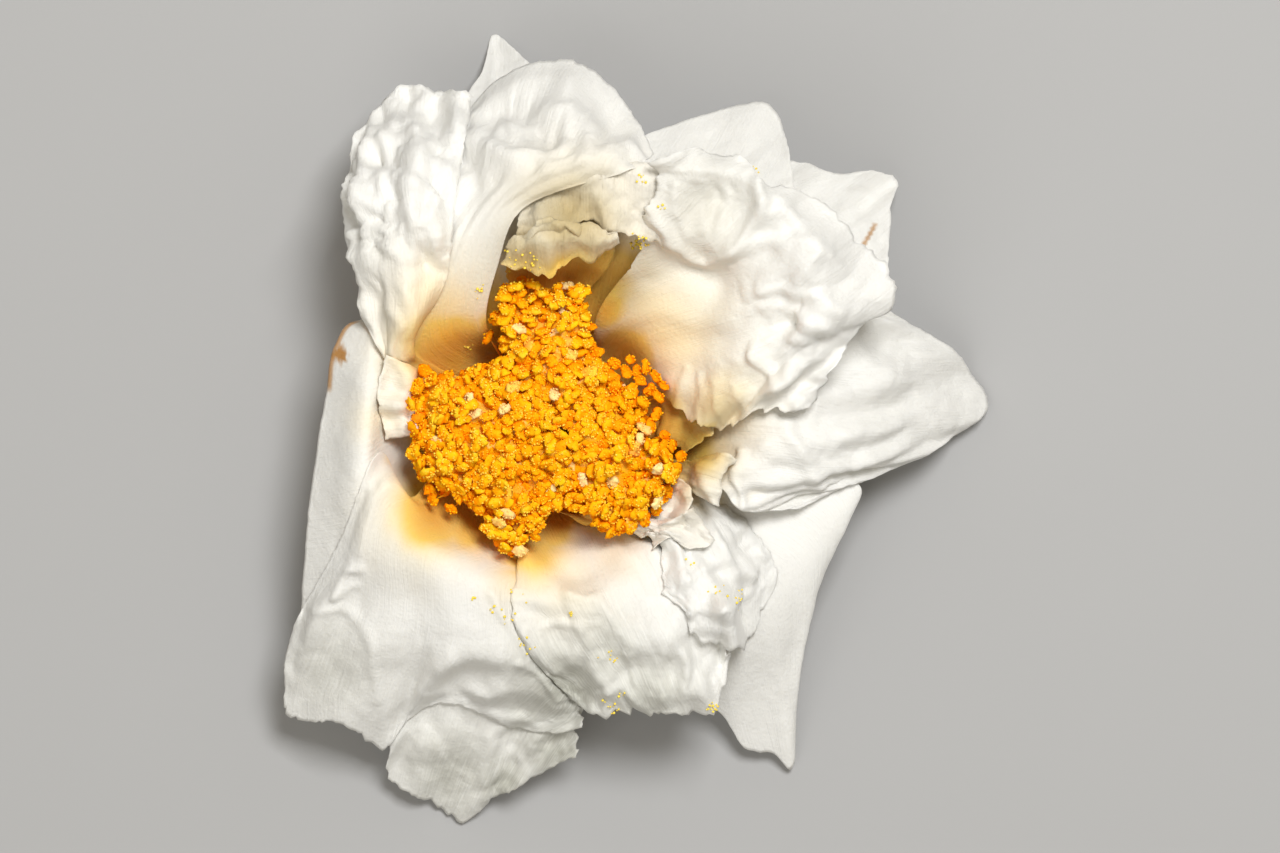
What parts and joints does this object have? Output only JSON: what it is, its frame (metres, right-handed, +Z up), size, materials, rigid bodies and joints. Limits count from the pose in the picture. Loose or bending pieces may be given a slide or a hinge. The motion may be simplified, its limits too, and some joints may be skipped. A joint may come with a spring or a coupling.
{
  "type": "camellia flower",
  "caption": "Large white camellia bloom lying on its back, with ruffled and crumpled petals in layers round a lobed head of golden stamens.",
  "frame": {"origin": "middle of the flower's box, on the surface that it rests on", "axes": "+Z up out of the open flower; +Y along its longest extent, towards the pointed outer petal at the top; +X towards the long pointed petal at the right"},
  "size_m": [0.1188, 0.1336, 0.0464],
  "materials": {
    "petal_white": "soft satin petal skin, warm white, amber at the base",
    "petaloid_cream": "thin crumpled petaloid, cream to tan in the throat",
    "anther_gold": "powdery golden anthers on orange filaments",
    "pistil_green": "pale green, smooth",
    "sepal_green": "matt green with brown edges",
    "receptacle_green": "matt green, with a pale cut scar"
  },
  "bodies": {
    "root": {"petal_outer_top": "petal_white", "petal_outer_upper_right": "petal_white", "petal_outer_lower_right": "petal_white", "petal_outer_bottom": "petal_white", "petal_outer_left": "petal_white", "petal_middle_top": "petal_white", "petal_right": "petal_white", "petal_lower_left": "petal_white", "petal_upper_left_fan": "petal_white", "petal_left_fan": "petal_white", "petal_upper_right_funnel": "petal_white", "petal_bottom_inner": "petal_white", "petal_lower_right_inner": "petal_white", "petaloid_top_back": "petaloid_cream", "petaloid_top_front": "petaloid_cream", "petaloid_right": "petaloid_cream", "petaloid_right_curl": "petaloid_cream", "petaloid_pale_upper": "petaloid_cream", "petaloid_pale_lower": "petaloid_cream", "petaloid_left": "petaloid_cream", "stamens": "anther_gold", "pistil": "pistil_green", "receptacle": "receptacle_green", "sepal_1": "sepal_green", "sepal_2": "sepal_green", "sepal_3": "sepal_green", "sepal_4": "sepal_green", "sepal_5": "sepal_green"}
  },
  "joints": []
}
